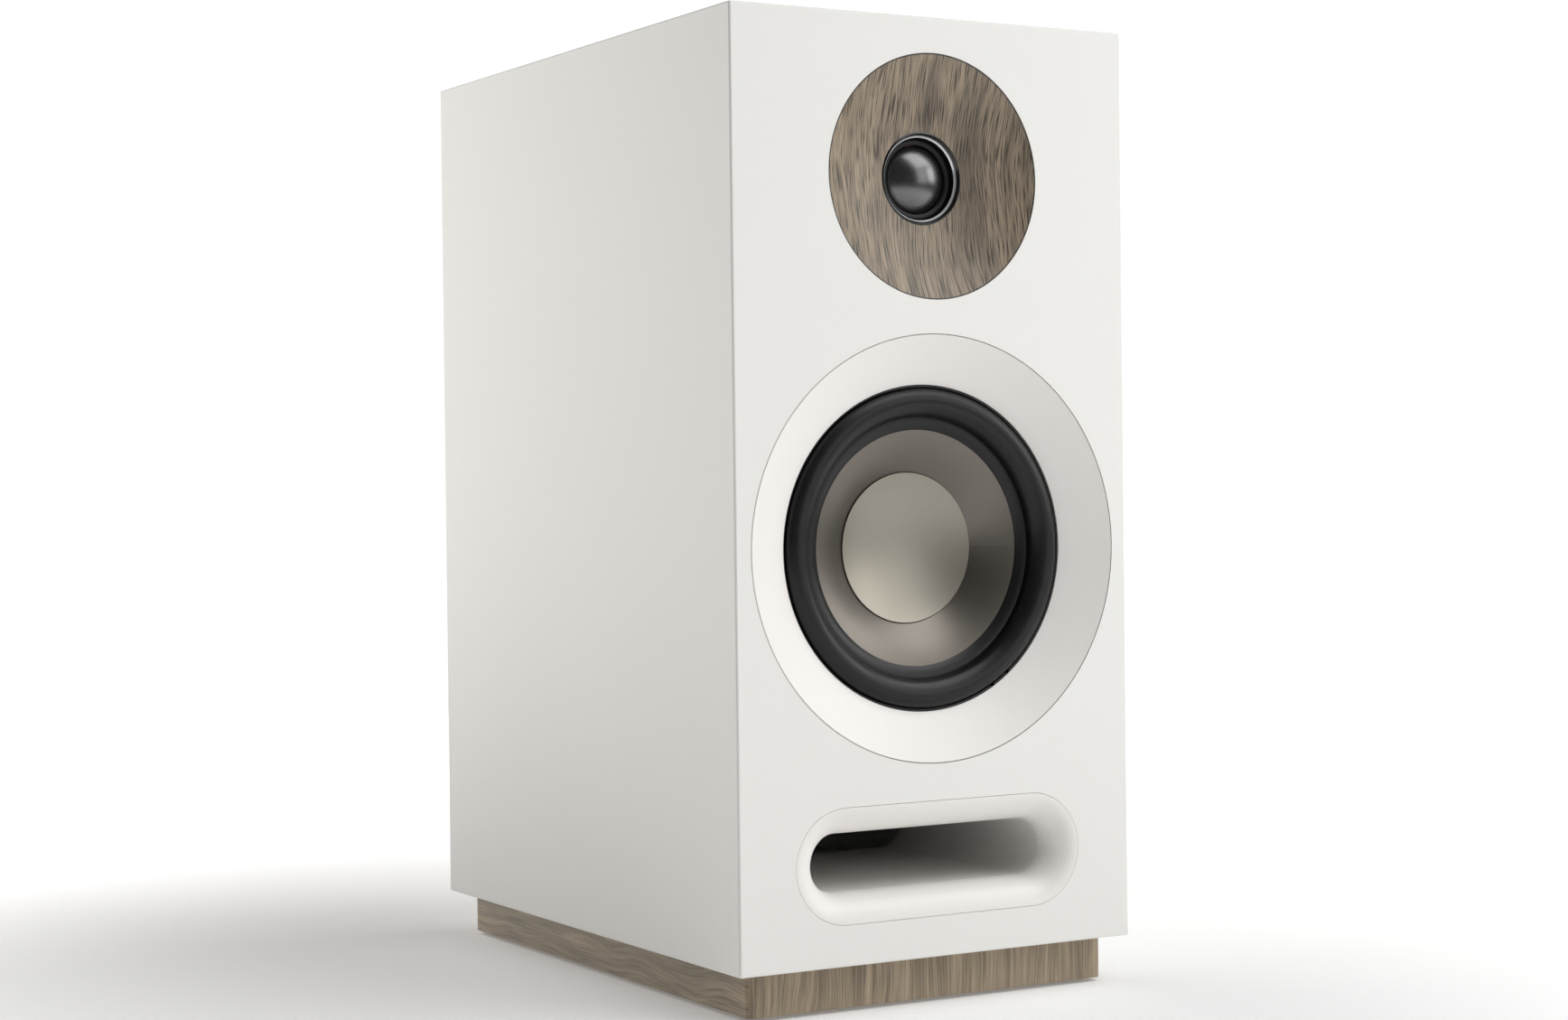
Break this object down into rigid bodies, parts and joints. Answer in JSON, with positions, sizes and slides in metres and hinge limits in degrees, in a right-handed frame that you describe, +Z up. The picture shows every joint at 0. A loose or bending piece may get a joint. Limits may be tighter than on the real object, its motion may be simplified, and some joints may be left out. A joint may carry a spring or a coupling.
{
  "type": "bookshelf speaker",
  "caption": "Two-way bookshelf speaker with a white cabinet, a slot port, a dished wood-finish tweeter disc and a wood-finish plinth.",
  "frame": {"origin": "on the floor under the middle of the whole object", "axes": "+Z up, the front faces -Y, +X to the right seen from the front"},
  "size_m": [0.172, 0.2624, 0.366],
  "materials": {
    "white_vinyl": "white satin vinyl wrap over fibreboard",
    "wood_print": "grey-brown walnut print, satin",
    "white_moulding": "smooth white paint",
    "duct_plastic": "plain moulded grey-white plastic",
    "gloss_black": "gloss black",
    "black_plastic": "fine moulded grain",
    "black_rubber": "satin butyl rubber",
    "foot_rubber": "matt rubber",
    "foam": "closed-cell foam",
    "cone_metal": "titanium-grey coated, satin",
    "dome_fabric": "coated gloss black",
    "surround_fabric": "coated",
    "spider_cloth": "resin-stiffened weave",
    "former_sheet": "thin film",
    "copper": "enamelled copper wire",
    "motor_steel": "zinc plated",
    "magnet": "sintered ferrite",
    "basket_metal": "black powder coat on a casting",
    "screw_steel": "black zinc",
    "tab_metal": "tinned",
    "gold_plate": "gold plated",
    "red_plastic": "red moulded",
    "knob_black": "black moulded",
    "wadding": "soft polyester fleece",
    "board": "solder-masked board",
    "nylon": "natural nylon",
    "capacitor_film": "yellow tape wrap",
    "cement": "white cement",
    "red_wire": "wire insulation",
    "blue_wire": "wire insulation",
    "black_wire": "wire insulation"
  },
  "bodies": {
    "cabinet": {"front_baffle": "white_vinyl", "left_side_panel": "white_vinyl", "right_side_panel": "white_vinyl", "top_panel": "white_vinyl", "bottom_panel": "white_vinyl", "rear_panel": "white_vinyl", "plinth": "wood_print", "plinth_screws": "screw_steel", "rubber_feet": "foot_rubber", "acoustic_wadding": "wadding", "foam_gaskets": "foam", "tweeter_disc": "wood_print", "tweeter_ring": "gloss_black", "tweeter_plate": "black_plastic", "tweeter_screws": "screw_steel", "tweeter_surround": "surround_fabric", "tweeter_top_plate": "motor_steel", "tweeter_magnet": "magnet", "tweeter_yoke": "motor_steel", "tweeter_rear_cup": "black_plastic", "tweeter_terminals": "tab_metal", "woofer_trim_ring": "white_moulding", "woofer_clamp_ring": "black_plastic", "woofer_surround": "black_rubber", "woofer_spider": "spider_cloth", "woofer_basket": "basket_metal", "woofer_screws": "screw_steel", "woofer_top_plate": "motor_steel", "woofer_magnet": "magnet", "woofer_yoke": "motor_steel", "woofer_terminal_strip": "tab_metal", "woofer_tinsel_leads": "copper", "port_flange": "white_moulding", "port_tube": "duct_plastic", "terminal_cup": "black_plastic", "terminal_cup_screws": "screw_steel", "positive_post": "gold_plate", "negative_post": "gold_plate", "post_nuts": "tab_metal", "solder_tags": "tab_metal", "crossover_board": "board", "crossover_spacers": "nylon", "crossover_screws": "tab_metal", "air_core_coils": "copper", "film_capacitors": "capacitor_film", "cement_resistors": "cement", "input_wires": "red_wire", "woofer_wires": "blue_wire", "tweeter_wires": "black_wire"},
    "woofer_moving": {"woofer_cone": "cone_metal", "woofer_dust_cap": "cone_metal", "woofer_coil_former": "former_sheet", "woofer_voice_coil": "copper"},
    "tweeter_moving": {"tweeter_dome": "dome_fabric", "tweeter_voice_coil": "copper"},
    "positive_washer": {"positive_clamp_washer": "gold_plate"},
    "positive_grip": {"positive_knob": "red_plastic"},
    "negative_washer": {"negative_clamp_washer": "gold_plate"},
    "negative_grip": {"negative_knob": "knob_black"}
  },
  "joints": [
    {"name": "woofer_piston", "type": "slide", "parent": "cabinet", "child": "woofer_moving", "axis": [0, -1, 0], "range_m": [-0.004, 0.004], "stiffness_N_per_m": 1000, "deforming": ["woofer_surround", "woofer_spider", "woofer_tinsel_leads"]},
    {"name": "tweeter_piston", "type": "slide", "parent": "cabinet", "child": "tweeter_moving", "axis": [0, -1, 0], "range_m": [-0.0004, 0.0004], "stiffness_N_per_m": 200, "deforming": ["tweeter_surround"]},
    {"name": "positive_washer_slide", "type": "slide", "parent": "cabinet", "child": "positive_washer", "axis": [0, 1, 0], "range_m": [0, 0.004]},
    {"name": "positive_knob_turn", "type": "hinge", "parent": "positive_washer", "child": "positive_grip", "pos_m": [0.0095, 0.11475, 0.136], "axis": [0, 1, 0], "range_deg": [0, 1440]},
    {"name": "negative_washer_slide", "type": "slide", "parent": "cabinet", "child": "negative_washer", "axis": [0, 1, 0], "range_m": [0, 0.004]},
    {"name": "negative_knob_turn", "type": "hinge", "parent": "negative_washer", "child": "negative_grip", "pos_m": [-0.0095, 0.11475, 0.136], "axis": [0, 1, 0], "range_deg": [0, 1440]}
  ],
  "couplings": [
    {"joint": "positive_knob_turn", "follows": "positive_washer_slide", "rad_per_m": 6283.2},
    {"joint": "negative_knob_turn", "follows": "negative_washer_slide", "rad_per_m": 6283.2}
  ]
}
